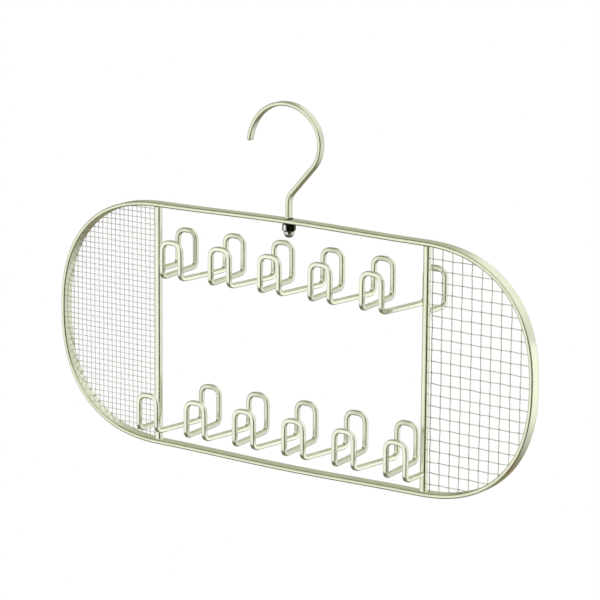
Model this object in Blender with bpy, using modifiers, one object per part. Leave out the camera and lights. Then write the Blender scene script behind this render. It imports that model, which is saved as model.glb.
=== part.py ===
"""Hanging jewelry organizer: a flat-bar hoop on a swivelling hook.

The hoop has long, slightly bowed straights and full rounded ends. Two square posts part it into
three bays: a fine mesh on the left, a coarse mesh on the right, and two zigzag rails of square bar
between them, whose upright loops stand alternately behind and in front of the hoop.

Metres, +Z up, +X to the right, +Y to the back. The origin is the point inside the hook's top where
a closet rod touches it.
"""

import math

import bmesh
import bpy
from mathutils import Matrix, Vector

MM = 0.001

# Running and seating gap between pieces that touch, and how far a cutter runs past what it cuts
GAP = 0.3 * MM
OVERCUT = 0.2 * MM

# Hook: a flat strip bent in its own plane, over a rod up to twice the inner radius across
HOOK_INNER_RADIUS = 27.0 * MM
HOOK_THICK = 2.4 * MM
HOOK_DEPTH = 5.5 * MM
HOOK_TIP_ANGLE = math.radians(175.5)
HOOK_EASE_ANGLE = math.radians(6.5)
HOOK_EASE_RADIUS = 16.6 * MM
HOOK_SLOPE = math.radians(48.7)
HOOK_NECK_RADIUS = 9.8 * MM
HOOK_EDGE = 0.4 * MM

# Swivel: the hook's stud passes through the hoop's top and holds it up with an acorn nut
SWIVEL_X = 3.2 * MM
HANG_DROP = 74.7 * MM
STUD_RADIUS = 2.4 * MM
SWIVEL_CLEARANCE = 0.35 * MM
NUT_ACROSS_FLATS = 8.0 * MM
NUT_HEX_HEIGHT = 4.7 * MM
NUT_CHAMFER_ANGLE = math.radians(30.0)
NUT_HEIGHT = 9.4 * MM
DOME_RADIUS = 3.5 * MM
NUT_BORE_DEPTH = 5.6 * MM
NUT_TURN = math.radians(18.0)

# Hoop: a flat bar standing on edge, with its ends drawn as superellipses
FRAME_WIDTH = 380.0 * MM
FRAME_HEIGHT = 167.2 * MM
FRAME_BOW = 1.2 * MM
END_RUN = 86.1 * MM
END_POWER = 2.35
BAND_THICK = 2.85 * MM
BAND_DEPTH = 8.6 * MM
BAND_EDGE = 0.5 * MM

# Posts: square bars between the hoop's inner faces
POST_WIDTH = 4.2 * MM
POST_DEPTH = 4.25 * MM
POST_EDGE = 0.35 * MM

# Rails: square bar in loops that stand alternately behind and in front of the hoop. The loops' tops
# are superellipses, and each rail is a little higher in its middle than at the posts
LOOPS = 11
LOOP_PITCH = 20.05 * MM
LOOP_WIDTH = 15.0 * MM
LOOP_RISE = 24.0 * MM
LOOP_REACH = 21.55 * MM
LOOP_POWER = 2.9
RAIL_BAR = 3.2 * MM
RAIL_EDGE = 0.35 * MM
RAIL_BEND = 3.8 * MM
RAIL_ARCH = 1.6 * MM
UPPER_RAIL_RISE = 37.5 * MM
LOWER_RAIL_DROP = 69.2 * MM

# Coarse mesh: single wires in two layers, uprights behind crosswires
COARSE_WIRE = 0.75 * MM
COARSE_PITCH = 7.4 * MM
COARSE_TOP_SPACE = 8.7 * MM

# Fine mesh: one flat net, drawn with fewer and wider gaps than the cloth has
FINE_WIRE = 0.55 * MM
FINE_DEPTH = 1.0 * MM
FINE_PITCH = 6.1 * MM

# Least space kept between the hoop and a mesh wire that runs along it
MESH_END_SPACE = 2.4 * MM

# How finely curves are divided
END_STEPS = 16
STRAIGHT_STEPS = 10
HOOK_STEP = math.radians(9.0)
TIP_STEPS = 4
RAIL_ARC_STEPS = 10
RAIL_BEND_STEPS = 4
TURN_STEPS = 24
DOME_STEPS = 8
WIRE_SIDES = 8

# Sizes that follow from the ones above
ROD_RISE = HOOK_INNER_RADIUS + HOOK_THICK / 2
FRAME_TOP = -HANG_DROP
FRAME_Z = FRAME_TOP - FRAME_BOW - FRAME_HEIGHT / 2
FRAME_CENTRE = Vector((SWIVEL_X, 0.0, FRAME_Z))
POST_X = (LOOPS - 1) / 2 * LOOP_PITCH + LOOP_WIDTH / 2
RAIL_END_Y = POST_DEPTH / 2 + GAP
MESH_START = POST_X + RAIL_BAR / 2 + GAP
FOOT_Z = FRAME_TOP + GAP
NUT_TOP = FRAME_TOP - BAND_THICK - GAP


def clear_scene():
    for item in list(bpy.data.objects):
        bpy.data.objects.remove(item, do_unlink=True)


def new_collection(name, hidden=False):
    group = bpy.data.collections.new(name)
    bpy.context.scene.collection.children.link(group)
    group.hide_render = hidden
    return group


def metal(name, colour, roughness):
    material = bpy.data.materials.new(name)
    material.use_nodes = True
    shader = material.node_tree.nodes["Principled BSDF"]
    shader.inputs["Base Color"].default_value = (*colour, 1.0)
    shader.inputs["Metallic"].default_value = 1.0
    shader.inputs["Roughness"].default_value = roughness
    material.diffuse_color = (*colour, 1.0)
    return material


def add_object(name, mesh, collection, material=None, parent=None):
    item = bpy.data.objects.new(name, mesh)
    collection.objects.link(item)
    if material is not None:
        mesh.materials.append(material)
    item.parent = parent
    return item


def add_empty(name, place, collection, parent=None):
    item = bpy.data.objects.new(name, None)
    item.location = place
    item.parent = parent
    collection.objects.link(item)
    return item


def as_cutter(item):
    item.hide_render = True
    item.display_type = "WIRE"
    return item


def smooth(mesh, degrees=35.0):
    mesh.shade_smooth()
    mesh.set_sharp_from_angle(angle=math.radians(degrees))


def mesh_from_bmesh(name, bm):
    bmesh.ops.recalc_face_normals(bm, faces=bm.faces)
    mesh = bpy.data.meshes.new(name)
    bm.to_mesh(mesh)
    bm.free()
    return mesh


def plate_mesh(name, outlines, depth):
    """A plate between closed outlines of (x, z) points, centred on y = 0."""
    curve = bpy.data.curves.new(name, "CURVE")
    curve.dimensions = "2D"
    curve.fill_mode = "BOTH"
    curve.extrude = depth / 2
    for outline in outlines:
        spline = curve.splines.new("POLY")
        spline.points.add(len(outline) - 1)
        for point, (x, z) in zip(spline.points, outline):
            point.co = (x, z, 0.0, 1.0)
        spline.use_cyclic_u = True
    drawn = bpy.data.objects.new(name, curve)
    bpy.context.scene.collection.objects.link(drawn)
    bpy.context.view_layer.update()
    graph = bpy.context.evaluated_depsgraph_get()
    mesh = bpy.data.meshes.new_from_object(drawn.evaluated_get(graph))
    bpy.data.objects.remove(drawn, do_unlink=True)
    bm = bmesh.new()
    bm.from_mesh(mesh)
    bmesh.ops.remove_doubles(bm, verts=bm.verts, dist=0.001 * MM)
    bmesh.ops.rotate(bm, verts=bm.verts, matrix=Matrix.Rotation(math.pi / 2, 3, "X"))
    bmesh.ops.recalc_face_normals(bm, faces=bm.faces)
    bm.to_mesh(mesh)
    bm.free()
    return mesh


def round_edges(item, width, segments=2):
    bevel = item.modifiers.new("rounded edges", "BEVEL")
    bevel.width = width
    bevel.segments = segments
    bevel.limit_method = "ANGLE"
    bevel.angle_limit = math.radians(40.0)


def boolean(item, operation, other):
    cut = item.modifiers.new(operation.lower(), "BOOLEAN")
    cut.operation = operation
    cut.solver = "EXACT"
    cut.object = other


def turned(name, profile, place, collection):
    """A body turned about Z from (radius, z) points, listed from top to bottom."""
    mesh = bpy.data.meshes.new(name)
    verts = [(radius, 0.0, z) for radius, z in profile]
    mesh.from_pydata(verts, [(i, i + 1) for i in range(len(verts) - 1)], [])
    item = add_object(name, mesh, collection)
    item.location = place
    screw = item.modifiers.new("turned", "SCREW")
    screw.steps = TURN_STEPS
    screw.render_steps = TURN_STEPS
    screw.use_merge_vertices = True
    screw.merge_threshold = 0.01 * MM
    return item


def offset_loop(points, distance):
    """Move each point of a closed loop sideways: outward for a loop drawn anticlockwise."""
    moved = []
    for i, (x, z) in enumerate(points):
        before = points[i - 1]
        after = points[(i + 1) % len(points)]
        along = Vector((after[0] - before[0], after[1] - before[1])).normalized()
        moved.append((x + along.y * distance, z - along.x * distance))
    return moved


def offset_path(points, distance):
    """Move each point of an open path to its right by a distance."""
    moved = []
    for i, (x, z) in enumerate(points):
        before = points[max(i - 1, 0)]
        after = points[min(i + 1, len(points) - 1)]
        along = Vector((after[0] - before[0], after[1] - before[1])).normalized()
        moved.append((x + along.y * distance, z - along.x * distance))
    return moved


def hoop_centre_line():
    """The middle of the bar, anticlockwise about the hoop's centre.

    Each end is a quarter of a superellipse and its mirror: along x it follows the cosine, and along
    z the sine, each to the power 2 / END_POWER. The straights rise by the square of a cosine.
    """
    half_height = (FRAME_HEIGHT - BAND_THICK) / 2
    straight = FRAME_WIDTH / 2 - END_RUN
    reach = END_RUN - BAND_THICK / 2
    right_half = []
    for step in range(-END_STEPS, END_STEPS + 1):
        angle = step / END_STEPS * math.pi / 2
        along = abs(math.cos(angle)) ** (2 / END_POWER)
        up = math.copysign(abs(math.sin(angle)) ** (2 / END_POWER), angle)
        right_half.append((straight + reach * along, half_height * up))
    top = []
    for step in range(1, STRAIGHT_STEPS):
        x = straight * (1 - 2 * step / STRAIGHT_STEPS)
        bow = FRAME_BOW * math.cos(math.pi / 2 * x / straight) ** 2
        top.append((x, half_height + bow))
    left_half = [(-x, -z) for x, z in right_half]
    bottom = [(-x, -z) for x, z in top]
    return right_half + top + left_half + bottom


def inner_height(x, inset):
    """Height of the hoop's inner face above its centre at x, after an inset."""
    loop = offset_loop(hoop_centre_line(), -BAND_THICK / 2 - inset)
    for (x0, z0), (x1, z1) in zip(loop, loop[1:] + loop[:1]):
        if z0 > 0 and z1 > 0 and x1 <= x <= x0:
            return z0 + (z1 - z0) * (x - x0) / (x1 - x0)
    return 0.0


def inner_reach(z, inset):
    """Distance of the hoop's inner face from its centre at height z, after an inset."""
    loop = offset_loop(hoop_centre_line(), -BAND_THICK / 2 - inset)
    for (x0, z0), (x1, z1) in zip(loop, loop[1:] + loop[:1]):
        if x0 > 0 and x1 > 0 and z0 <= z <= z1:
            return x0 + (x1 - x0) * (z - z0) / (z1 - z0)
    return 0.0


def hook_centre_line():
    """The strip's middle from its tip, over the top and down to its foot, as (x, z)."""
    path = []
    top = Vector((0.0, -HOOK_INNER_RADIUS))
    ease_offset = ROD_RISE - HOOK_EASE_RADIUS
    ease = top + ease_offset * Vector((math.cos(HOOK_EASE_ANGLE), math.sin(HOOK_EASE_ANGLE)))
    slope_angle = HOOK_SLOPE - math.pi / 2
    for centre, radius, start, end in (
        (top, ROD_RISE, HOOK_TIP_ANGLE, HOOK_EASE_ANGLE),
        (ease, HOOK_EASE_RADIUS, HOOK_EASE_ANGLE, slope_angle),
    ):
        steps = math.ceil((start - end) / HOOK_STEP)
        for step in range(steps):
            angle = start + (end - start) * step / steps
            path.append((centre.x + radius * math.cos(angle), centre.y + radius * math.sin(angle)))
    end_x = ease.x + HOOK_EASE_RADIUS * math.cos(slope_angle)
    end_z = ease.y + HOOK_EASE_RADIUS * math.sin(slope_angle)
    path.append((end_x, end_z))
    turn = math.pi / 2 - HOOK_SLOPE
    neck_x = SWIVEL_X + HOOK_NECK_RADIUS
    start_x = neck_x - HOOK_NECK_RADIUS * math.cos(turn)
    start_z = end_z - (end_x - start_x) * math.tan(HOOK_SLOPE)
    neck_z = start_z - HOOK_NECK_RADIUS * math.sin(turn)
    steps = math.ceil(turn / HOOK_STEP)
    for step in range(steps + 1):
        angle = math.pi - turn + turn * step / steps
        x = neck_x + HOOK_NECK_RADIUS * math.cos(angle)
        path.append((x, neck_z + HOOK_NECK_RADIUS * math.sin(angle)))
    path.append((SWIVEL_X, FOOT_Z))
    return path


def build_hook(collection, material, parent):
    path = hook_centre_line()
    outer = offset_path(path, -HOOK_THICK / 2)
    inner = offset_path(path, HOOK_THICK / 2)
    first = Vector(path[0])
    onward = (first - Vector(path[1])).normalized()
    outward = (Vector(outer[0]) - first).normalized()
    tip = []
    for step in range(1, TIP_STEPS):
        angle = math.pi * step / TIP_STEPS
        reach = outward * math.cos(angle) + onward * math.sin(angle)
        tip.append(tuple(first + HOOK_THICK / 2 * reach))
    outline = outer[::-1] + tip + inner
    mesh = plate_mesh("hanging_hook", [outline], HOOK_DEPTH)
    item = add_object("hanging_hook", mesh, collection, material, parent)
    item.location = (-SWIVEL_X, 0.0, 0.0)
    round_edges(item, HOOK_EDGE)
    smooth(mesh)


def build_stud(collection, material, parent):
    bottom = NUT_TOP - NUT_BORE_DEPTH + GAP
    length = FRAME_TOP - bottom
    bm = bmesh.new()
    bmesh.ops.create_cone(
        bm, cap_ends=True, segments=TURN_STEPS, radius1=STUD_RADIUS, radius2=STUD_RADIUS, depth=length
    )
    item = add_object("hook_stud", mesh_from_bmesh("hook_stud", bm), collection, material, parent)
    item.location = (0.0, 0.0, bottom + length / 2)
    smooth(item.data)


def build_nut(collection, cutters, material, parent):
    """Acorn nut, tightened a little off square: a hexagon, a domed cap and a blind bore."""
    corner = NUT_ACROSS_FLATS / 2 / math.cos(math.pi / 6)
    bm = bmesh.new()
    bmesh.ops.create_cone(
        bm, cap_ends=True, segments=6, radius1=corner, radius2=corner, depth=NUT_HEX_HEIGHT
    )
    bmesh.ops.rotate(bm, verts=bm.verts, matrix=Matrix.Rotation(NUT_TURN, 3, "Z"))
    item = add_object("cap_nut", mesh_from_bmesh("cap_nut", bm), collection, material, parent)
    item.location = (0.0, 0.0, NUT_TOP - NUT_HEX_HEIGHT / 2)
    place = (SWIVEL_X, 0.0, NUT_TOP)
    flat = NUT_ACROSS_FLATS / 2
    slope = math.tan(NUT_CHAMFER_ANGLE)
    narrow = flat - OVERCUT / slope
    wide = corner + OVERCUT
    drop = (wide - flat) * slope
    chamfers = [
        (0.0, OVERCUT),
        (narrow, OVERCUT),
        (wide, -drop),
        (wide, -NUT_HEX_HEIGHT + drop),
        (narrow, -NUT_HEX_HEIGHT - OVERCUT),
        (0.0, -NUT_HEX_HEIGHT - OVERCUT),
    ]
    boolean(item, "INTERSECT", as_cutter(turned("nut_chamfers", chamfers, place, cutters)))
    wall = NUT_HEIGHT - DOME_RADIUS
    profile = [(0.0, -NUT_HEX_HEIGHT / 2), (DOME_RADIUS, -NUT_HEX_HEIGHT / 2)]
    for step in range(DOME_STEPS):
        angle = math.pi / 2 * step / DOME_STEPS
        profile.append((DOME_RADIUS * math.cos(angle), -wall - DOME_RADIUS * math.sin(angle)))
    profile.append((0.0, -NUT_HEIGHT))
    boolean(item, "UNION", as_cutter(turned("nut_dome", profile, place, cutters)))
    bore = STUD_RADIUS + GAP
    bore_profile = [(0.0, OVERCUT), (bore, OVERCUT), (bore, -NUT_BORE_DEPTH), (0.0, -NUT_BORE_DEPTH)]
    boolean(item, "DIFFERENCE", as_cutter(turned("nut_bore", bore_profile, place, cutters)))
    smooth(item.data)


def build_hoop(collection, cutters, material, parent):
    middle = hoop_centre_line()
    outlines = [offset_loop(middle, BAND_THICK / 2), offset_loop(middle, -BAND_THICK / 2)]
    mesh = plate_mesh("outer_hoop", outlines, BAND_DEPTH)
    item = add_object("outer_hoop", mesh, collection, material, parent)
    round_edges(item, BAND_EDGE)
    radius = STUD_RADIUS + SWIVEL_CLEARANCE
    reach = BAND_THICK * 2
    hole_profile = [(0.0, reach), (radius, reach), (radius, -reach), (0.0, -reach)]
    hole = turned("swivel_hole", hole_profile, (SWIVEL_X, 0.0, FRAME_TOP), cutters)
    boolean(item, "DIFFERENCE", as_cutter(hole))
    smooth(mesh)


def build_post(name, side, collection, material, parent):
    edge = POST_X + POST_WIDTH / 2
    height = 2 * inner_height(edge, GAP)
    bm = bmesh.new()
    bmesh.ops.create_cube(bm, size=1.0)
    bmesh.ops.scale(bm, verts=bm.verts, vec=(POST_WIDTH, POST_DEPTH, height))
    item = add_object(name, mesh_from_bmesh(name, bm), collection, material, parent)
    item.location = (side * POST_X, 0.0, 0.0)
    round_edges(item, POST_EDGE)
    smooth(item.data)


def loop_top(angle):
    """Place and outward direction on a loop's top, from the middle of its springing line."""
    side = math.copysign(1.0, math.cos(angle))
    level = abs(math.cos(angle))
    rise = abs(math.sin(angle))
    place = Vector((side * level ** (2 / LOOP_POWER), 0.0, rise ** (2 / LOOP_POWER)))
    normal_power = 2 - 2 / LOOP_POWER
    outward = Vector((side * level ** normal_power, 0.0, rise ** normal_power))
    return place * LOOP_WIDTH / 2, outward.normalized()


def rail_stations():
    """Places along the bar, each with the two directions of its section's sides.

    One direction lies across the bar in the loop's own plane and stays level along a run. The other
    is the depth of the loop on its legs and arch, and turns up or down along a run.
    """
    stations = []
    arch = LOOP_WIDTH / 2
    spring = LOOP_RISE - arch
    for index in range(LOOPS):
        x = (index - (LOOPS - 1) / 2) * LOOP_PITCH
        back = index % 2 == 0
        y = LOOP_REACH if back else -LOOP_REACH
        toward = -1.0 if back else 1.0
        turn = 1.0 if back else -1.0
        slant = (LOOP_PITCH - LOOP_WIDTH) / (2 * LOOP_REACH)
        lead_in = Vector((0.0 if index == 0 else slant, -toward, 0.0)).normalized()
        lead_out = Vector((0.0 if index == LOOPS - 1 else slant, toward, 0.0)).normalized()
        up = Vector((0.0, 0.0, 1.0))
        foot = Vector((x - arch, y, 0.0))
        for step in range(RAIL_BEND_STEPS + 1):
            angle = math.pi / 2 * step / RAIL_BEND_STEPS
            point = foot + RAIL_BEND * (lead_in * (math.sin(angle) - 1) + up * (1 - math.cos(angle)))
            along = lead_in * math.cos(angle) + up * math.sin(angle)
            level = lead_in.lerp(Vector((0.0, -toward, 0.0)), step / RAIL_BEND_STEPS).normalized()
            across = Vector((level.y, -level.x, 0.0)) * -toward * turn
            stations.append((point, across, along.cross(across)))
        for step in range(RAIL_ARC_STEPS + 1):
            place, outward = loop_top(math.pi * (1 - step / RAIL_ARC_STEPS))
            along = Vector((outward.z, 0.0, -outward.x))
            across = -outward * turn
            stations.append((Vector((x, y, spring)) + place, across, along.cross(across)))
        foot = Vector((x + arch, y, 0.0))
        for step in range(RAIL_BEND_STEPS + 1):
            angle = math.pi / 2 * (1 - step / RAIL_BEND_STEPS)
            point = foot + RAIL_BEND * (lead_out * (1 - math.sin(angle)) + up * (1 - math.cos(angle)))
            along = lead_out * math.cos(angle) - up * math.sin(angle)
            level = Vector((0.0, toward, 0.0)).lerp(lead_out, step / RAIL_BEND_STEPS).normalized()
            across = Vector((level.y, -level.x, 0.0)) * -toward * turn
            stations.append((point, across, along.cross(across)))
    _, across, up_side = stations[0]
    stations.insert(0, (Vector((-POST_X, RAIL_END_Y, 0.0)), across, up_side))
    _, across, up_side = stations[-1]
    stations.append((Vector((POST_X, RAIL_END_Y, 0.0)), across, up_side))
    for point, _, _ in stations:
        point.z += RAIL_ARCH * (1 - (point.x / POST_X) ** 2)
    return stations


def rail_mesh(name):
    """A square section with small flats on its corners, carried through every station."""
    half = RAIL_BAR / 2
    flat = half - RAIL_EDGE
    section = [
        (half, -flat), (half, flat), (flat, half), (-flat, half),
        (-half, flat), (-half, -flat), (-flat, -half), (flat, -half),
    ]
    bm = bmesh.new()
    rings = []
    for point, across, other in rail_stations():
        rings.append([bm.verts.new(point + across * a + other * b) for a, b in section])
    count = len(section)
    for ring, following in zip(rings, rings[1:]):
        for i in range(count):
            j = (i + 1) % count
            bm.faces.new((ring[i], ring[j], following[j], following[i]))
    bm.faces.new(rings[0][::-1])
    bm.faces.new(rings[-1])
    mesh = mesh_from_bmesh(name, bm)
    smooth(mesh)
    return mesh


def build_rails(collection, material, parent):
    mesh = rail_mesh("jewelry_rail")
    upper = add_object("upper_jewelry_rail", mesh, collection, material, parent)
    upper.location = (0.0, 0.0, UPPER_RAIL_RISE)
    lower = add_object("lower_jewelry_rail", mesh, collection, None, parent)
    lower.location = (0.0, 0.0, -LOWER_RAIL_DROP)
    lower.rotation_euler = (0.0, 0.0, math.pi)


def wires_between(first, last, pitch):
    """How many wires, a pitch apart, lie from the first to the last place they may take."""
    return math.floor((last - first) / pitch) + 1


def add_wire(name, start, end, collection, material, parent):
    radius = COARSE_WIRE / 2
    bm = bmesh.new()
    bmesh.ops.create_cone(
        bm, cap_ends=True, segments=WIRE_SIDES, radius1=radius, radius2=radius, depth=(end - start).length
    )
    item = add_object(name, mesh_from_bmesh(name, bm), collection, material, parent)
    item.location = (start + end) / 2
    item.rotation_mode = "QUATERNION"
    item.rotation_quaternion = (end - start).to_track_quat("Z", "Y")
    smooth(item.data)


def build_coarse_mesh(collection, material, parent):
    """Crosswires sit on the right post's back and end at the hoop; uprights lie behind them."""
    radius = COARSE_WIRE / 2
    cross_y = POST_DEPTH / 2 + GAP + radius
    upright_y = cross_y + COARSE_WIRE + GAP
    first_x = MESH_START + radius
    last_x = FRAME_WIDTH / 2 - BAND_THICK - MESH_END_SPACE
    for index in range(wires_between(first_x, last_x, COARSE_PITCH)):
        x = first_x + index * COARSE_PITCH
        reach = inner_height(x + radius, GAP)
        start = Vector((x, upright_y, -reach))
        end = Vector((x, upright_y, reach))
        add_wire(f"coarse_upright_{index + 1:02d}", start, end, collection, material, parent)
    half_height = inner_height(MESH_START, GAP)
    first_z = half_height - COARSE_TOP_SPACE
    last_z = MESH_END_SPACE - half_height
    for index in range(wires_between(last_z, first_z, COARSE_PITCH)):
        z = first_z - index * COARSE_PITCH
        reach = min(inner_reach(z - radius, GAP), inner_reach(z + radius, GAP))
        start = Vector((MESH_START, cross_y, z))
        end = Vector((reach, cross_y, z))
        add_wire(f"coarse_crosswire_{index + 1:02d}", start, end, collection, material, parent)


def bar_lines(start, end, first, pitch, count, width):
    """Edges of a row of bars, as start, each bar's two edges, and end."""
    lines = [start]
    for index in range(count):
        middle = first + index * pitch
        lines += [middle - width / 2, middle + width / 2]
    return lines + [end]


def build_fine_mesh(collection, cutters, material, parent):
    """A lattice of flat bars, cut to the hoop's inner outline, just behind the left post."""
    first_x = POST_X + POST_WIDTH / 2 + FINE_WIRE / 2
    last_x = FRAME_WIDTH / 2 - BAND_THICK - MESH_END_SPACE
    uprights = wires_between(first_x, last_x, FINE_PITCH)
    columns = bar_lines(MESH_START, FRAME_WIDTH / 2, first_x, FINE_PITCH, uprights, FINE_WIRE)
    half_height = inner_height(MESH_START, GAP)
    last_z = half_height - MESH_END_SPACE
    crosswires = wires_between(-last_z, last_z, FINE_PITCH)
    first_z = -(crosswires - 1) / 2 * FINE_PITCH
    rows = bar_lines(-FRAME_HEIGHT / 2, FRAME_HEIGHT / 2, first_z, FINE_PITCH, crosswires, FINE_WIRE)
    bm = bmesh.new()
    bmesh.ops.create_grid(bm, x_segments=len(columns) - 1, y_segments=len(rows) - 1, size=1.0)
    for vert in bm.verts:
        column = round((vert.co.x + 1) / 2 * (len(columns) - 1))
        row = round((vert.co.y + 1) / 2 * (len(rows) - 1))
        vert.co = (column, 0.0, row)
    gaps = []
    for face in bm.faces:
        middle = face.calc_center_median()
        if int(middle.x) % 2 == 0 and int(middle.z) % 2 == 0:
            gaps.append(face)
    bmesh.ops.delete(bm, geom=gaps, context="FACES")
    for vert in bm.verts:
        vert.co = (-columns[round(vert.co.x)], 0.0, rows[round(vert.co.z)])
    mesh = mesh_from_bmesh("fine_mesh_panel", bm)
    item = add_object("fine_mesh_panel", mesh, collection, material, parent)
    item.location = (0.0, POST_DEPTH / 2 + GAP + FINE_DEPTH / 2, 0.0)
    solid = item.modifiers.new("wire depth", "SOLIDIFY")
    solid.thickness = FINE_DEPTH
    solid.offset = 0.0
    region = offset_loop(hoop_centre_line(), -BAND_THICK / 2 - GAP)
    cutter = add_object("fine_mesh_region", plate_mesh("fine_mesh_region", [region], BAND_DEPTH * 2), cutters)
    cutter.parent = parent
    boolean(item, "INTERSECT", as_cutter(cutter))


def main():
    clear_scene()
    parts = new_collection("hanging_jewelry_organizer")
    cutters = new_collection("cutters", hidden=True)
    satin = metal("satin_nickel", (0.72, 0.70, 0.60), 0.30)
    hook_metal = metal("hook_nickel", (0.74, 0.72, 0.60), 0.28)
    rail_metal = metal("rail_nickel", (0.76, 0.75, 0.68), 0.26)
    wire_metal = metal("mesh_wire", (0.52, 0.52, 0.47), 0.38)
    chrome = metal("nut_chrome", (0.80, 0.80, 0.78), 0.08)
    steel = metal("stud_steel", (0.50, 0.50, 0.50), 0.35)
    swivel = add_empty("hook_swivel_axis", (SWIVEL_X, 0.0, 0.0), parts)
    frame = add_empty("frame_centre", FRAME_CENTRE, parts)
    bpy.context.view_layer.update()
    build_hook(parts, hook_metal, swivel)
    build_stud(parts, steel, swivel)
    build_nut(parts, cutters, chrome, swivel)
    build_hoop(parts, cutters, satin, frame)
    build_post("left_post", -1.0, parts, satin, frame)
    build_post("right_post", 1.0, parts, satin, frame)
    build_rails(parts, rail_metal, frame)
    build_coarse_mesh(parts, wire_metal, frame)
    build_fine_mesh(parts, cutters, wire_metal, frame)


main()
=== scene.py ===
"""Hanging jewellery organiser in satin metal: its finished surfaces, finishes and studio.

Lengths are metres and the axes are the frame's own: +X right, +Y back, +Z up, with the origin where a
closet rod touches the inside of the hook.
"""

import math

import bmesh
import bpy
import numpy as np
from bpy.props import FloatProperty, FloatVectorProperty, IntProperty, PointerProperty
from mathutils import Matrix, Vector


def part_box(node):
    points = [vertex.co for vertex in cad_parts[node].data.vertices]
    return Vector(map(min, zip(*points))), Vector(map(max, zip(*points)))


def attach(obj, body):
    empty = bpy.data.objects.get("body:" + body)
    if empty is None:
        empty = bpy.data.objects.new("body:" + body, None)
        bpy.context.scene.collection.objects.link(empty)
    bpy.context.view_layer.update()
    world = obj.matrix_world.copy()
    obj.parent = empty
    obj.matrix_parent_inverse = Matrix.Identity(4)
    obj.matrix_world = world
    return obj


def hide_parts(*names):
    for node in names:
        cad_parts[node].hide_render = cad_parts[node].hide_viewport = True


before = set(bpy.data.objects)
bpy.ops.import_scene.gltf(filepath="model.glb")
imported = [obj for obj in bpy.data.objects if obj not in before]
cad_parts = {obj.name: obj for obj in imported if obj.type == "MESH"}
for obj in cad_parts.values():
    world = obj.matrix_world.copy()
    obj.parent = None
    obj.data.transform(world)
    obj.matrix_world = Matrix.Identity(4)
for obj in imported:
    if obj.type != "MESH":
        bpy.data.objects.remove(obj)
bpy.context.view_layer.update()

bl_info = {
    "name": "Hanging Jewellery Organiser",
    "version": (1, 0, 0),
    "blender": (4, 5, 0),
    "location": "3D Viewport > Sidebar > Organiser",
    "description": "Satin metal organiser with a flat-bar hoop, looped rails, woven panels and a hook",
    "category": "Add Mesh",
}

RIGHT = np.array([1.0, 0.0, 0.0])
BACK = np.array([0.0, 1.0, 0.0])
UP = np.array([0.0, 0.0, 1.0])
WHITE = (1.0, 1.0, 1.0, 1.0)
SHARP = 40.0  # degrees between faces from which their edge is drawn sharp


# Settings


def length(name, description, default):
    """A setting in metres."""
    return FloatProperty(name=name, description=description, default=default, unit="LENGTH")


def angle(name, description, degrees):
    """A setting kept in radians and given here in degrees."""
    return FloatProperty(
        name=name, description=description, default=math.radians(degrees), subtype="ANGLE"
    )


def number(name, description, default):
    """A setting without a unit."""
    return FloatProperty(name=name, description=description, default=default)


def point(name, description, default):
    """A place in metres."""
    return FloatVectorProperty(name=name, description=description, default=default, unit="LENGTH")


def tint(name, description, default):
    """A linear red, green and blue."""
    return FloatVectorProperty(name=name, description=description, default=default, subtype="COLOR")


class HoopSettings(bpy.types.PropertyGroup):
    centre: point("Centre", "Middle of the hoop", (0.0032, 0.0, -0.1595))
    width: length("Width", "Outside width", 0.380)
    height: length("Height", "Outside height at the ends' tops", 0.1672)
    bow: length("Bow", "Rise of each straight at its middle", 0.0012)
    end_run: length("End run", "Length of each rounded end", 0.0861)
    end_power: number("End power", "Squareness of the ends: 2 is an ellipse", 2.35)
    band: length("Bar thickness", "Thickness of the bar", 0.00285)
    depth: length("Bar depth", "Front to back size of the bar", 0.0086)
    edge: length("Bar edge", "Radius of the bar's edges", 0.0010)
    post_place: length("Post place", "Posts' distance from the middle", 0.10775)
    post_width: length("Post width", "Side to side size of a post", 0.0042)
    post_depth: length("Post depth", "Front to back size of a post", 0.00425)
    post_edge: length("Post edge", "Radius of a post's edges", 0.0012)


class RailSettings(bpy.types.PropertyGroup):
    loops: IntProperty(name="Loops", description="Upright loops on each rail", default=11)
    pitch: length("Pitch", "Distance between loops", 0.02005)
    loop_width: length("Loop width", "Between the middles of a loop's legs", 0.015)
    rise: length("Loop rise", "From the run to the loop's top", 0.0240)
    reach: length("Reach", "Loops' distance before and behind the hoop", 0.02155)
    bar: length("Bar", "Side of the square bar", 0.0032)
    edge: length("Bar edge", "Radius of the bar's edges", 0.0008)
    bend: length("Bend", "Radius where a run turns up", 0.0038)
    upper: length("Upper rail", "Height above the hoop's middle", 0.0375)
    lower: length("Lower rail", "Drop below the hoop's middle", 0.0692)
    arch: length("Rail arch", "Rise of each rail at its middle", 0.0016)
    power: number("Loop power", "Squareness of the loops' tops: 2 is a half circle", 2.9)


class PanelSettings(bpy.types.PropertyGroup):
    coarse_wire: length("Coarse wire", "Diameter of the coarse wire", 0.00064)
    coarse_pitch: length("Coarse pitch", "Spacing of the coarse wires", 0.0074)
    fine_wire: length("Fine wire", "Diameter of the fine wire", 0.00056)
    fine_pitch: length("Fine pitch", "Spacing of the fine wires", 0.0037)
    wander: length("Wander", "How far a woven wire strays sideways", 0.00018)


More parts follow.
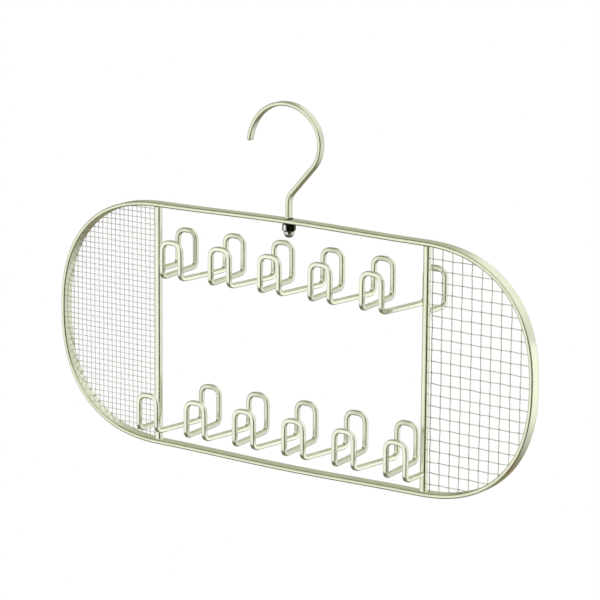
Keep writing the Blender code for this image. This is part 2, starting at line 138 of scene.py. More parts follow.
class HookSettings(bpy.types.PropertyGroup):
    radius: length("Inner radius", "Inside of the hook's top", 0.0276)
    top_place: length("Top place", "Place of the top's middle along X", 0.0005)
    top_drop: length("Top drop", "From the origin down to the inside of the top", 0.00047)
    tip_angle: angle("Tip angle", "Where the top's arc begins", 173.2)
    ease_angle: angle("Ease angle", "Where the tighter arc takes over", 42.0)
    ease_radius: length("Ease radius", "Middle radius of the tighter arc", 0.0228)
    slope: angle("Slope", "Steepness of the straight run", 47.7)
    neck_radius: length("Neck radius", "Middle radius above the stem", 0.0102)
    stem_place: length("Stem place", "Place of the strip's stem along X", 0.0030)
    strip: length("Strip thickness", "Thickness of the strip", 0.0028)
    depth: length("Strip depth", "Front to back size of the strip", 0.0052)
    edge: length("Strip edge", "Radius of the strip's edges", 0.0008)
    swivel: length("Swivel place", "Place of the stud and the nut along X", 0.0032)
    drop: length("Drop", "From the rod's seat down to the hoop's top", 0.0747)
    stud: length("Stud radius", "Outside radius of the thread", 0.0024)
    flats: length("Nut flats", "Distance across the nut's flats", 0.008)
    hexagon: length("Nut hexagon", "Height of the nut's hexagon", 0.0047)
    nut: length("Nut height", "Height of the whole nut", 0.0094)
    dome: length("Dome radius", "Radius of the nut's dome", 0.0035)
    nut_turn: angle("Nut turn", "How far the tightened nut's flats are turned", 18.0)


class FinishSettings(bpy.types.PropertyGroup):
    plate: tint("Satin plate", "Champagne satin plating", (0.84, 0.87, 0.69))
    # The edge tone is painted shade on the rounded edges, standing in for the dark reflections there.
    edge: tint("Edge tone", "Painted shade on the rounded edges", (0.44, 0.48, 0.29))
    hook: tint("Hook plate", "The hook's satin plating", (0.76, 0.80, 0.64))
    wire: tint("Coarse wire", "Drawn wire of the right end", (0.82, 0.85, 0.72))
    fine_wire: tint("Fine wire", "Drawn wire of the left end", (0.92, 0.97, 0.93))
    # The weld tone darkens the wires at their welded ends, and is painted shade where the woven wires
    # cross.
    weld: tint("Weld", "Weld darkening and painted crossing shade", (0.16, 0.16, 0.11))
    chrome: tint("Bright plate", "Polished nut", (0.82, 0.82, 0.80))
    # This dark tone is painted dark reflection and shade on the nut's corners, rims and crown, and the
    # painted shadow round the hook's foot.
    painted_dark: tint("Painted dark", "Darkened corners of the nut", (0.03, 0.03, 0.03))
    # A lighter copy of the frame's plating, painted lighter for the rails and the left post where more
    # light falls on them.
    rail: tint("Lighter plate", "Satin plating painted lighter for the rails and left post", (0.88, 0.91, 0.76))
    steel: tint("Stud steel", "Bare turned steel", (0.46, 0.45, 0.43))


class StudioSettings(bpy.types.PropertyGroup):
    azimuth: angle("Azimuth", "Camera's angle round the object", 35.367)
    elevation: angle("Elevation", "Camera's angle above level", 12.569)
    roll: angle("Roll", "Camera's tilt about its own axis", 0.445)
    distance: length("Distance", "From the camera to its aim", 2.05833)
    aim: point("Aim", "Point at the picture's middle", (0.012397, 0.0, -0.127644))
    lens: number("Lens", "Focal length in millimetres", 189.0)
    floor_drop: length("Floor drop", "From the origin down to the floor", 1.9)
    floor_radius: length("Floor radius", "Radius of the round floor", 0.7)


class OrganiserSettings(bpy.types.PropertyGroup):
    hoop: PointerProperty(type=HoopSettings)
    rail: PointerProperty(type=RailSettings)
    panel: PointerProperty(type=PanelSettings)
    hook: PointerProperty(type=HookSettings)
    finish: PointerProperty(type=FinishSettings)
    studio: PointerProperty(type=StudioSettings)


# Surfaces


def unit(vectors):
    """v / |v| for each row."""
    return vectors / np.linalg.norm(vectors, axis=-1, keepdims=True)


def rounded_section(width, height, radius, steps=6, lower_shade=1.0):
    """Outline of a rectangle with rounded corners and a support point near each side's ends.

    Corner k is centred at (+-(width / 2 - radius), +-(height / 2 - radius)), and its points lie at
    that centre plus radius * (cos t, sin t), for t over the corner's quarter turn. Two more points
    before and after each corner continue its tangent, the further one for 0.4 of the radius or to
    near the side's middle, and the nearer one for 0.4 of that. A third column holds each point's
    share of the painted shade on the rounded edges: sin(2 t) but at least 0.6, then 0.4, and 0 at the
    further points. The two lower corners have the given factor times as much, painted darker where
    shade falls under the bar.
    """
    turn = np.linspace(0.0, math.pi / 2, steps + 1)
    angle = np.arange(4)[:, None] * math.pi / 2 + turn[None, :]
    radial = np.stack([np.cos(angle), np.sin(angle)], -1)
    tangent = np.stack([-np.sin(angle), np.cos(angle)], -1)
    centre = np.array([[1, 1], [-1, 1], [-1, -1], [1, -1]]) * (width / 2 - radius, height / 2 - radius)
    arc = centre[:, None] + radius * radial
    support = min(0.4 * radius, 0.45 * (min(width, height) / 2 - radius))
    away = support * np.array([[1.0], [0.4]])
    before = arc[:, :1] - away * tangent[:, :1]
    after = arc[:, -1:] + away[::-1] * tangent[:, -1:]
    outline = np.concatenate([before, arc, after], 1).reshape(-1, 2)
    share = np.concatenate([[0.0, 0.4], np.maximum(np.sin(2 * turn), 0.6), [0.4, 0.0]])
    share = np.array([[1.0], [1.0], [lower_shade], [lower_shade]]) * share
    return np.concatenate([outline, share.reshape(-1, 1)], 1)


def evenly_round(sides):
    """Angles 2 pi k / sides for k from 0."""
    return np.arange(sides) / sides * 2 * math.pi


def circle_section(radius, sides):
    """Points radius * (cos t, sin t) for t evenly round a turn."""
    turn = evenly_round(sides)
    return radius * np.stack([np.cos(turn), np.sin(turn)], -1)


def turned(radius, angles, height, place):
    """Points (place + r cos t, r sin t, z), for radii on a grid of heights z and angles t."""
    height = np.broadcast_to(height, radius.shape)
    return np.stack([place + radius * np.cos(angles), radius * np.sin(angles), height], -1)


def in_plane(x, z):
    """(x, 0, z) for each x and z."""
    return np.stack([x, np.zeros_like(x), z], -1)


def swept(path, side, rise, section, scale=None):
    """P(i, j) = path_i + s_i * (u_j * side_i + v_j * rise_i), for section points (u_j, v_j)."""
    size = np.ones(path.shape[:-1]) if scale is None else scale
    across = side[..., None, :] * section[:, 0, None] + rise[..., None, :] * section[:, 1, None]
    return path[..., None, :] + size[..., None, None] * across


def path_directions(path, closed=False):
    """Unit central differences along a path, one-sided at the ends of an open one."""
    if closed:
        return unit(np.roll(path, -1, -2) - np.roll(path, 1, -2))
    return unit(np.gradient(path, axis=-2))


def evenly(path, count, closed=False):
    """The path resampled at equal distances: each coordinate read at s = k * length / count."""
    points = np.concatenate([path, path[:1]]) if closed else path
    along = np.concatenate([[0.0], np.cumsum(np.linalg.norm(np.diff(points, axis=0), axis=1))])
    wanted = np.linspace(0.0, along[-1], count, endpoint=not closed)
    return np.stack([np.interp(wanted, along, points[:, axis]) for axis in range(points.shape[1])], -1)


def row_distances(points):
    """Distance of each row of each grid from its first row, and at last round to the first again."""
    ring = np.concatenate([points, points[:, :1]], 1)
    steps = np.linalg.norm(np.diff(ring, axis=1), axis=-1).mean(-1)
    return np.concatenate([np.zeros((len(points), 1)), np.cumsum(steps, 1)], 1)


def grid_shell(points, closed_rows=False, capped=True, edge=0.0):
    """Quads between point (i, j) of each grid and its neighbours (i + 1, j) and (i, j + 1).

    points has shape (grids, rows, columns, 3), and the last column meets the first. The UV map holds
    the distance along the rows and round the columns in metres. Open rows are closed by one face at
    each end where capped is set. edge says how much of a corner each point is, for one row or all.
    """
    grids, rows, columns, _ = points.shape
    row = np.arange(rows if closed_rows else rows - 1)
    column = np.arange(columns)
    row, column = (part.ravel() for part in np.meshgrid(row, column, indexing="ij"))
    rows_at = np.stack([row, row + 1, row + 1, row], -1)
    columns_at = np.stack([column, column, column + 1, column + 1], -1)
    base = np.arange(grids)[:, None, None] * rows * columns
    quads = (base + (rows_at % rows) * columns + columns_at % columns).reshape(-1, 4)
    along = row_distances(points)
    around = row_distances(points.swapaxes(1, 2))
    uv = np.stack([along[:, rows_at], around[:, columns_at]], -1).reshape(-1, 4, 2)
    faces = quads.tolist()
    corners = [uv.reshape(-1, 2)]
    if capped and not closed_rows:
        start = base[:, 0] + np.arange(columns)[::-1]
        end = base[:, 0] + (rows - 1) * columns + np.arange(columns)
        faces += start.tolist() + end.tolist()
        corners.append(np.zeros((2 * grids * columns, 2)))
    edges = np.broadcast_to(edge, points.shape[:3]).reshape(-1)
    return points.reshape(-1, 3), faces, np.concatenate(corners), edges


def bar_shell(path, side, rise, section, scale=None, closed=False):
    """A section carried along a path as one shell, with the section's corner shares as its edges."""
    points = swept(path, side, rise, section, scale)
    return grid_shell(points[None], closed_rows=closed, edge=section[:, 2])


def join_shells(shells):
    """One list of points, faces, UV corners and edge shares, with each shell's indices moved on."""
    points, faces, corners, edges = [], [], [], []
    offset = 0
    for shell_points, shell_faces, shell_corners, shell_edges in shells:
        points.append(shell_points)
        faces += [[index + offset for index in face] for face in shell_faces]
        corners.append(shell_corners)
        edges.append(shell_edges)
        offset += len(shell_points)
    return np.concatenate(points), faces, np.concatenate(corners), np.concatenate(edges)


def add_object(name, points, faces):
    """A mesh object of the points and faces, linked to the scene."""
    mesh = bpy.data.meshes.new(name)
    mesh.from_pydata(points, [], faces)
    item = bpy.data.objects.new(name, mesh)
    bpy.context.scene.collection.objects.link(item)
    return item


def turn_outwards(mesh):
    """Turn the mesh's faces outwards, with their UV corners carried along."""
    bm = bmesh.new()
    bm.from_mesh(mesh)
    bmesh.ops.recalc_face_normals(bm, faces=bm.faces)
    bm.to_mesh(mesh)
    bm.free()


def add_piece(name, shell, finish, body, nodes=(), sharp=SHARP):
    """A mesh object from a shell, smooth but for edges over the sharp angle, riding on its body."""
    points, faces, corners, edges = shell
    piece = add_object(name, points, faces)
    mesh = piece.data
    layer = mesh.uv_layers.new(name="along")
    layer.data.foreach_set("uv", corners.astype(np.float32).ravel())
    share = mesh.attributes.new("edge", "FLOAT", "POINT")
    share.data.foreach_set("value", edges.astype(np.float32))
    turn_outwards(mesh)
    mesh.shade_smooth()
    mesh.set_sharp_from_angle(angle=math.radians(sharp))
    mesh.materials.append(metal(finish))
    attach(piece, body)
    if nodes:
        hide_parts(*nodes)
    return piece


def beads(centres, radii):
    """Ellipsoids P(u, v) = centre + radii * (cos u cos v, sin u cos v, sin v), without their poles."""
    around, up = np.meshgrid(evenly_round(8), np.radians([-75.0, -35.0, 0.0, 35.0, 75.0]))
    ball = np.stack([np.cos(around) * np.cos(up), np.sin(around) * np.cos(up), np.sin(up)], -1)
    return grid_shell(np.array(centres)[:, None, None] + ball * radii)


# The hoop's line, which the posts and panels also follow


CLEAR_OF_ENDS = 0.01  # height above which each x has one point of the upper half


def hoop_line(hoop):
    """The middle of the hoop's bar, anticlockwise about its own centre, as (x, z).

    On each end x = straight + reach * cos(t)^(2 / n) and z = half * sin(t)^(2 / n), where n is the
    end power. The straights rise by bow * cos(pi x / (2 straight))^2 above the half height.
    """
    samples = 160
    half = (hoop.height - hoop.band) / 2
    straight = hoop.width / 2 - hoop.end_run
    reach = hoop.end_run - hoop.band / 2
    angle = np.linspace(-1.0, 1.0, 2 * samples + 1) * math.pi / 2
    power = 2 / hoop.end_power
    end_x = straight + reach * np.abs(np.cos(angle)) ** power
    end_z = half * np.sign(angle) * np.abs(np.sin(angle)) ** power
    top_x = straight * np.linspace(1.0, -1.0, samples + 1)[1:-1]
    top_z = half + hoop.bow * np.cos(math.pi / 2 * top_x / straight) ** 2
    x = np.concatenate([end_x, top_x, -end_x, -top_x])
    z = np.concatenate([end_z, top_z, -end_z, -top_z])
    return np.stack([x, z], -1)


def hoop_inside(hoop):
    """The bar's inner outline: the middle line moved inwards by half the bar's thickness."""
    line = evenly(hoop_line(hoop), 1200, closed=True)
    along = path_directions(line, closed=True)
    outward = np.stack([along[:, 1], -along[:, 0]], -1)
    return line - outward * hoop.band / 2


def inner_height(hoop, x):
    """Height of the hoop's inner face at each x, read along its upper half."""
    line = hoop_inside(hoop)
    upper = line[line[:, 1] > CLEAR_OF_ENDS]
    upper = upper[np.argsort(upper[:, 0])]
    return np.interp(x, upper[:, 0], upper[:, 1])


def inner_reach(hoop, z):
    """Distance of the hoop's inner face from its middle at each z, read along its right half."""
    line = hoop_inside(hoop)
    right = line[line[:, 0] > hoop.width / 2 - hoop.end_run]
    right = right[np.argsort(right[:, 1])]
    return np.interp(z, right[:, 1], right[:, 0])


# Finishes


DEEPEN = 0.94  # the plating's deepest tone as a share of its lightest
LINES_PER_METRE = 9000.0
TONES_PER_METRE = 60.0
PATCHES_PER_METRE = 220.0

# Material: its colour's setting, roughness, roughness spread, edge's setting (the colour of its painted
# shade and dark reflections, and for the wires also of their welds), edge amount, metallic
METALS = {
    "satin champagne plate": ("plate", 0.24, 0.08, "edge", 0.75, 1.0),
    "satin hook plate": ("hook", 0.2, 0.08, "edge", 0.75, 1.0),
    # A lighter copy of the champagne plate with less painted edge shade: the rails and left post
    # painted lighter for the light on them.
    "satin plate painted lighter": ("rail", 0.22, 0.08, "edge", 0.35, 1.0),
    "drawn coarse wire": ("wire", 0.36, 0.1, "weld", 0.75, 1.0),
    "drawn fine wire": ("fine_wire", 0.45, 0.1, "weld", 0.2, 0.45),
    "bright nut plate": ("chrome", 0.08, 0.03, "painted_dark", 1.0, 1.0),
    # The dark bead round the hook's foot is a painted shadow.
    "painted gap shadow": ("painted_dark", 0.4, 0.1, None, 0.0, 1.0),
    "bare stud steel": ("steel", 0.34, 0.12, None, 0.0, 1.0),
}


def new_group(name, inputs, output, kind):
    """A shader node group with the sockets it is given, by name and kind, and one output."""
    group = bpy.data.node_groups.new(name, "ShaderNodeTree")
    for label, given_kind in inputs.items():
        group.interface.new_socket(label, in_out="INPUT", socket_type="NodeSocket" + given_kind)
    group.interface.new_socket(output, in_out="OUTPUT", socket_type="NodeSocket" + kind)
    return group, group.nodes.new("NodeGroupInput").outputs


def feed(tree, node, inputs):
    """Give each input of a node, by name or number, its value or the socket that feeds it."""
    for key, value in inputs.items():
        if isinstance(value, bpy.types.NodeSocket):
            tree.links.new(value, node.inputs[key])
        else:
            node.inputs[key].default_value = value


def add_node(tree, kind, inputs=None, **values):
    """A node with its properties set and its inputs fed."""
    node = tree.nodes.new(kind)
    for key, value in values.items():
        setattr(node, key, value)
    feed(tree, node, inputs or {})
    return node


def maths(tree, operation, first, second, clamp=False):
    """The result of a Math node."""
    node = add_node(tree, "ShaderNodeMath", {0: first, 1: second}, operation=operation, use_clamp=clamp)
    return node.outputs[0]


def vector_maths(tree, operation, *vectors, **values):
    """The result of a Vector Math node: a number for a dot product, else a vector."""
    node = add_node(
        tree, "ShaderNodeVectorMath", dict(enumerate(vectors)), operation=operation, **values
    )
    return node.outputs["Value" if operation == "DOT_PRODUCT" else "Vector"]


def noise(tree, place, scale, detail):
    """The value of a Noise Texture node."""
    node = add_node(tree, "ShaderNodeTexNoise", {"Vector": place, "Scale": scale, "Detail": detail})
    return node.outputs["Fac"]


def carried(tree, value, low, high, to_low=0.0, to_high=1.0, **values):
    """The result of a Map Range node: value carried from low and high to to_low and to_high."""
    inputs = {"Value": value, "From Min": low, "From Max": high, "To Min": to_low, "To Max": to_high}
    return add_node(tree, "ShaderNodeMapRange", inputs, **values).outputs["Result"]


def mixed(tree, factor, first, second):
    """The colour of a Mix node: first at factor 0 and second at factor 1."""
    inputs = {"Factor": factor, "A": first, "B": second}
    return add_node(tree, "ShaderNodeMix", inputs, data_type="RGBA").outputs["Result"]


def build_grain_group():
    """Fine drawing lines along a bar: noise on the UV map, drawn out 40 times along it."""
    group, given = new_group(
        "drawn grain", {"UV": "Vector", "Base Roughness": "Float", "Roughness Spread": "Float"},
        "Roughness", "Float",
    )
    stretched = vector_maths(group, "MULTIPLY", given["UV"], (0.025, 1.0, 1.0))
    centred = maths(group, "SUBTRACT", noise(group, stretched, LINES_PER_METRE, 3.0), 0.5)
    spread = maths(group, "MULTIPLY", centred, given["Roughness Spread"])
    total = maths(group, "ADD", spread, given["Base Roughness"], clamp=True)
    add_node(group, "NodeGroupOutput", {"Roughness": total})
    return group


def build_tone_group():
    """Slow changes of tone over the plating: soft noise on Object coordinates mixes two colours."""
    group, given = new_group(
        "plating tone", {"Position": "Vector", "Light": "Color", "Deep": "Color"}, "Color", "Color"
    )
    soft = carried(group, noise(group, given["Position"], TONES_PER_METRE, 4.0), 0.35, 0.65)
    add_node(group, "NodeGroupOutput", {"Color": mixed(group, soft, given["Light"], given["Deep"])})
    return group


def build_shade_and_weld_group():
    """Painted shade on marked points: a bar's rounded edges, the wires' crossings and the nut's
    corners, rims and crown, with the real darkening of the wires' welds. The edge share, broken up by
    noise, mixes two colours.
    """
    group, given = new_group(
        "painted shade and weld tone",
        {"Color": "Color", "Edge": "Float", "Edge Color": "Color", "Amount": "Float",
         "Position": "Vector"},
        "Color", "Color",
    )
    patches = noise(group, given["Position"], PATCHES_PER_METRE, 2.0)
    strength = maths(group, "MULTIPLY", given["Edge"], given["Amount"])
    uneven = carried(group, patches, 0.3, 0.7, 0.7, 1.15)
    mask = maths(group, "MULTIPLY", strength, uneven, clamp=True)
    colour = mixed(group, mask, given["Color"], given["Edge Color"])
    add_node(group, "NodeGroupOutput", {"Color": colour})
    return group


def group_node(tree, name, build, inputs):
    """The outputs of a node that uses a shared group, which is built for its first user."""
    group = bpy.data.node_groups.get(name) or build()
    return add_node(tree, "ShaderNodeGroup", inputs, node_tree=group).outputs


def metal(name):
    """One of METALS, with slow tone changes, drawn grain in its roughness and painted shade on its
    edges and marked points.
    """
    found = bpy.data.materials.get(name)
    if found:
        return found
    colour, roughness, spread, edge, edge_amount, metallic = METALS[name]
    finish = bpy.context.scene.organiser.finish
    light = np.array(getattr(finish, colour))
    material = bpy.data.materials.new(name)
    material.use_nodes = True
    tree = material.node_tree
    place = add_node(tree, "ShaderNodeTexCoord").outputs["Object"]
    tones = {"Position": place, "Light": (*light, 1.0), "Deep": (*light * DEEPEN, 1.0)}
    surface = group_node(tree, "plating tone", build_tone_group, tones)["Color"]
    if edge:
        share = add_node(tree, "ShaderNodeAttribute", attribute_name="edge").outputs["Fac"]
        edges = {
            "Color": surface, "Edge": share, "Edge Color": (*getattr(finish, edge), 1.0),
            "Amount": edge_amount, "Position": place,
        }
        surface = group_node(tree, "painted shade and weld tone", build_shade_and_weld_group, edges)["Color"]
    uv = add_node(tree, "ShaderNodeUVMap", uv_map="along").outputs["UV"]
    grain = {"UV": uv, "Base Roughness": roughness, "Roughness Spread": spread}
    rough = group_node(tree, "drawn grain", build_grain_group, grain)["Roughness"]
    shader = tree.nodes["Principled BSDF"]
    feed(tree, shader, {"Base Color": surface, "Roughness": rough, "Metallic": metallic})
    return material


# Operators


class ORGANISER_OT_hoop(bpy.types.Operator):
    """Build the flat-bar hoop, with the hole for the hook's stud"""
    bl_idname = "organiser.hoop"
    bl_label = "Outer hoop"

    stations = 420
    play = 0.00035  # between the stud and its hole
    drill_reach = 0.006  # of the drill, above and below the hoop's top
    drill_sides = 48

    def execute(self, context):
        """The bar's section, depth along Y, carried round the hoop's line, then drilled upright."""
        hoop = context.scene.organiser.hoop
        hook = context.scene.organiser.hook
        line = evenly(hoop_line(hoop), self.stations, closed=True)
        along = path_directions(line, closed=True)
        path = in_plane(*line.T) + np.array(hoop.centre)
        outward = in_plane(along[:, 1], -along[:, 0])
        section = rounded_section(hoop.band, hoop.depth, hoop.edge)
        shell = bar_shell(path, outward, BACK, section, closed=True)
        piece = add_piece(
            "hoop_bar", shell, "satin champagne plate", "frame", ["outer_hoop"]
        )
        levels = np.array([[-1.0], [1.0]]) * self.drill_reach - hook.drop
        radii = np.full((2, self.drill_sides), hook.stud + self.play)
        rims = turned(radii, evenly_round(self.drill_sides), levels, hook.swivel)
        points, faces, _, _ = grid_shell(rims[None])
        drill = add_object("stud_hole", points, faces)
        turn_outwards(drill.data)
        cut = piece.modifiers.new("stud hole", "BOOLEAN")
        cut.operation = "DIFFERENCE"
        cut.solver = "EXACT"
        cut.object = drill
        context.view_layer.update()
        graph = context.evaluated_depsgraph_get()
        finished = bpy.data.meshes.new_from_object(piece.evaluated_get(graph))
        piece.modifiers.clear()
        piece.data = finished
        finished.set_sharp_from_angle(angle=math.radians(SHARP))
        bpy.data.objects.remove(drill, do_unlink=True)
        return {"FINISHED"}


class ORGANISER_OT_posts(bpy.types.Operator):
    """Build the two square posts, flared a little where they are welded to the hoop"""
    bl_idname = "organiser.posts"
    bl_label = "Posts"

    sunk = 0.0001  # of each end into the hoop
    close_run = 0.004  # of closer stations at each end
    close_stations = 9
    stations = 14  # from one close run to the other
    flare = 0.16
    flare_run = 0.0005

    def execute(self, context):
        """The square section carried up z, times 1 + flare * exp(-d / flare run), d from an end."""
        hoop = context.scene.organiser.hoop
        half = float(inner_height(hoop, hoop.post_place)) + self.sunk
        turn = np.linspace(0.0, math.pi / 2, self.close_stations)
        low = -half + self.close_run * (1.0 - np.cos(turn))
        z = np.concatenate([low, np.linspace(low[-1], -low[-1], self.stations)[1:-1], -low[::-1]])
        swell = 1.0 + self.flare * np.exp(-(half - np.abs(z)) / self.flare_run)
        section = rounded_section(hoop.post_width, hoop.post_depth, hoop.post_edge)
        posts = (
            # The left post takes the lighter copy of the plating, painted lighter for the light on it.
            ("left_post", -hoop.post_place, "satin plate painted lighter"),
            ("right_post", hoop.post_place, "satin champagne plate"),
        )
        for name, place, finish in posts:
            path = np.array(hoop.centre) + place * RIGHT + z[:, None] * UP
            shell = bar_shell(path, RIGHT, BACK, section, swell)
            add_piece(name + "_bar", shell, finish, "frame", [name])
        return {"FINISHED"}


BEND_STATIONS = 7
TOP_STATIONS = 33


def rail_line(rail, post_depth, post_place):
    """Stations of a rail: its middle line, and the side and rise directions of its section.

    Loop k is centred at x = (k - (n - 1) / 2) * pitch, behind for even k and in front for odd k. A
    run turns up through a quarter circle, rises to the spring, follows half a superellipse, whose
    place is half the width times (cos(t)^(2 / n), sin(t)^(2 / n)) and whose outward direction is
    (cos(t)^(2 - 2 / n), sin(t)^(2 - 2 / n)), and comes down the same way. The side direction is level
    across the run, and stays in the loop's plane on its legs and top. The whole line then rises by
    arch * (1 - (x / post place)^2).
    """
    def each(right, back, up=0.0):
        """(right, back, up) for each loop, with an axis for its stations."""
        return np.stack(np.broadcast_arrays(right, back, up), -1)[:, None]

    count = rail.loops
    index = np.arange(count)
    x = (index - (count - 1) / 2) * rail.pitch
    sign = np.where(index % 2 == 0, 1.0, -1.0)
    arch = rail.loop_width / 2
    spring = rail.rise - arch
    slant = (rail.pitch - rail.loop_width) / (2 * rail.reach)
    lean_in = np.where(index == 0, 0.0, slant)
    lean_out = np.where(index == count - 1, 0.0, slant)
    enter = unit(each(lean_in, sign))
    leave = unit(each(lean_out, -sign))
    turn = np.linspace(0.0, math.pi / 2, BEND_STATIONS)[None, :, None]
    share = turn / (math.pi / 2)

    def bend(foot, way, part):
        """The points and directions of a quarter circle from level along way to upright."""
        points = foot + rail.bend * (way * (np.sin(part) - 1) + UP * (1 - np.cos(part)))
        return points, way * np.cos(part) + UP * np.sin(part)

    def level_side(level):
        """(y, -x, 0) for each level direction."""
        return np.stack([level[..., 1], -level[..., 0], np.zeros(level.shape[:-1])], -1)

    straight = each(0.0, sign)
    bend_in, along_in = bend(each(x - arch, sign * rail.reach), enter, turn)
    side_in = level_side(unit(enter + (straight - enter) * share))

    angle = math.pi * (1 - np.linspace(0.0, 1.0, TOP_STATIONS))
    level, lift = np.abs(np.cos(angle)), np.abs(np.sin(angle))
    hand = np.sign(np.cos(angle))
    power = 2 / rail.power
    place = in_plane(hand * level ** power, lift ** power)
    outward = unit(in_plane(hand * level ** (2 - power), lift ** (2 - power)))
    over = each(x, sign * rail.reach, spring) + arch * place
    along_over = np.broadcast_to(in_plane(outward[:, 2], -outward[:, 0]), over.shape)
    side_over = -outward * sign[:, None, None]

    bend_out, along_out = bend(each(x + arch, sign * rail.reach), -leave, turn[:, ::-1])
    side_out = level_side(unit(-straight + (leave + straight) * share))

    path = np.concatenate([bend_in, over, bend_out], 1).reshape(-1, 3)
    along = np.concatenate([along_in, along_over, -along_out], 1).reshape(-1, 3)
    side = np.concatenate([side_in, side_over, side_out], 1).reshape(-1, 3)
    weld = np.array([post_place, post_depth / 2, 0.0])
    path = np.concatenate([[weld * (-1, 1, 1)], path, [weld]])
    path[:, 2] += rail.arch * (1 - (path[:, 0] / post_place) ** 2)
    along = np.concatenate([along[:1], along, along[-1:]])
    side = np.concatenate([side[:1], side, side[-1:]])
    return path, side, np.cross(along, side)


class ORGANISER_OT_rails(bpy.types.Operator):
    """Build the two zigzag rails of square bar with their upright loops"""
    bl_idname = "organiser.rails"
    bl_label = "Jewellery rails"

    # The lower corners get more of the painted edge shade than the upper ones, as shade falls under the
    # bar.
    lower_shade = 2.2  # edge share of the bar's lower corners against its upper ones

    def execute(self, context):
        """The square section carried along the rail's line; the lower rail is turned end for end."""
        hoop = context.scene.organiser.hoop
        rail = context.scene.organiser.rail
        path, side, rise = rail_line(rail, hoop.post_depth, hoop.post_place)
        section = rounded_section(rail.bar, rail.bar, rail.edge, lower_shade=self.lower_shade)
        points = swept(path, side, rise, section)
        upper = points + np.array(hoop.centre) + rail.upper * UP
        lower = points * (-1.0, -1.0, 1.0) + np.array(hoop.centre) - rail.lower * UP
        for name, grid in (("upper_jewelry_rail", upper), ("lower_jewelry_rail", lower)):
            shell = grid_shell(grid[None], edge=section[:, 2])
            add_piece(name + "_bar", shell, "satin plate painted lighter", "frame", [name])
        return {"FINISHED"}


SUNK = 0.0003  # of each woven wire's end into the hoop


def woven(places, low, high, crossings_first, pitch, swing, wander, samples, seed):
    """Middle lines of parallel woven wires, as position along the wire, sideways and depth.

    Along: t runs evenly from low to high. Depth: swing * cos(pi * (t - first crossing) / pitch), with
    its sign turned from wire to wire. Sideways: the wire's place plus wander * (0.6 * (sin(60 t + a) +
    0.7 * sin(170 t + b)) + c), with a, b and c drawn for each wire, c within 0.35. The last array is
    the share of painted shade where wires cross, |cos|^60 along the wire as for the depth, and of
    weld darkening, exp(-(d / end run)^2) at distance d from either end.
    """
    end_run = 0.0010
    chance = np.random.default_rng(seed)
    count = len(places)
    t = low[:, None] + (high - low)[:, None] * np.linspace(0.0, 1.0, samples)
    parity = np.where(np.arange(count) % 2 == 0, 1.0, -1.0)[:, None]
    wave = np.cos(math.pi * (t - crossings_first) / pitch)
    depth = swing * parity * wave
    from_end = np.minimum(t - low[:, None], high[:, None] - t)
    share = np.maximum(np.abs(wave) ** 60, np.exp(-((from_end / end_run) ** 2)))
    phase = chance.uniform(0.0, 2 * math.pi, (3, count, 1))
    slow = np.sin(t * 60.0 + phase[0]) + 0.7 * np.sin(t * 170.0 + phase[1])
    offset = chance.uniform(-0.35, 0.35, (count, 1))
    return t, places[:, None] + wander * (slow * 0.6 + offset), depth, share


def wire_grids(path, radius, sides):
    """Round tubes about many lines: radius * (cos t, sin t) on directions square to each line."""
    along = path_directions(path)
    side = unit(np.cross(along, np.broadcast_to(BACK, path.shape)))
    return swept(path, side, np.cross(side, along), circle_section(radius, sides))


def weave(builder, hoop, panel, plane, wire, pitch, swings, x, z, ends):
    """Tubes and dark shares (painted shade where wires cross, weld darkening at the ends) of a panel's
    uprights at x and of its crosswires at z, about y = plane.

    The uprights run between the hoop's inner faces, and the crosswires between their two ends. The
    builder gives the samples along each wire, the seeds and the sides of the tubes.
    """
    half = inner_height(hoop, np.abs(x)) + SUNK
    groups = []
    for wire_set, (places, low, high, first) in enumerate(((x, -half, half, z[0]), (z, *ends, x[0]))):
        along, sideways, depth, welds = woven(
            places, low, high, first, pitch, swings[wire_set], panel.wander,
            builder.samples[wire_set], builder.seeds[wire_set],
        )
        across, upright = (along, sideways) if wire_set else (sideways, along)
        paths = np.stack([across, plane + depth, upright], -1) + np.array(hoop.centre)
        groups.append((wire_grids(paths, wire / 2, builder.sides), welds))
    return groups


class ORGANISER_OT_coarse_panel(bpy.types.Operator):
    """Build the coarse woven wires of the right end, one piece for each wire"""
    bl_idname = "organiser.coarse_panel"
    bl_label = "Coarse panel"

    swings = (0.3, -0.7)  # of the uprights and of the crosswires about the plane, in wires
    samples = (320, 160)
    seeds = (3, 5)
    sides = 10

    def execute(self, context):
        """Plain weave: the uprights swing about a plane and the crosswires swing against them."""
        hoop = context.scene.organiser.hoop
        panel = context.scene.organiser.panel
        wire = panel.coarse_wire
        centre = np.array(hoop.centre)
        names = sorted(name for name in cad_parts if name.startswith("coarse_"))
        uprights = [name for name in names if name.startswith("coarse_upright")]
        crosswires = [name for name in names if name.startswith("coarse_crosswire")]
        upright_boxes = np.array([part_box(name) for name in uprights]) - centre
        cross_boxes = np.array([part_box(name) for name in crosswires]) - centre
        x = upright_boxes[:, :, 0].mean(1)
        z = cross_boxes[:, :, 2].mean(1)
        plane = (cross_boxes[:, 0, 1].min() + upright_boxes[:, 1, 1].max()) / 2
        ends = (np.full(len(z), x[0] - wire / 2), inner_reach(hoop, z) + SUNK)
        swings = [wire * swing for swing in self.swings]
        groups = weave(self, hoop, panel, plane, wire, panel.coarse_pitch, swings, x, z, ends)
        for nodes, (grids, welds) in zip((uprights, crosswires), groups):
            for name, grid, weld in zip(nodes, grids, welds):
                # weld holds the wire's weld darkening at its ends and its painted shade where wires
                # cross.
                shell = grid_shell(grid[None], edge=weld[None, :, None])
                add_piece(name + "_wire", shell, "drawn coarse wire", "frame", [name])
        return {"FINISHED"}


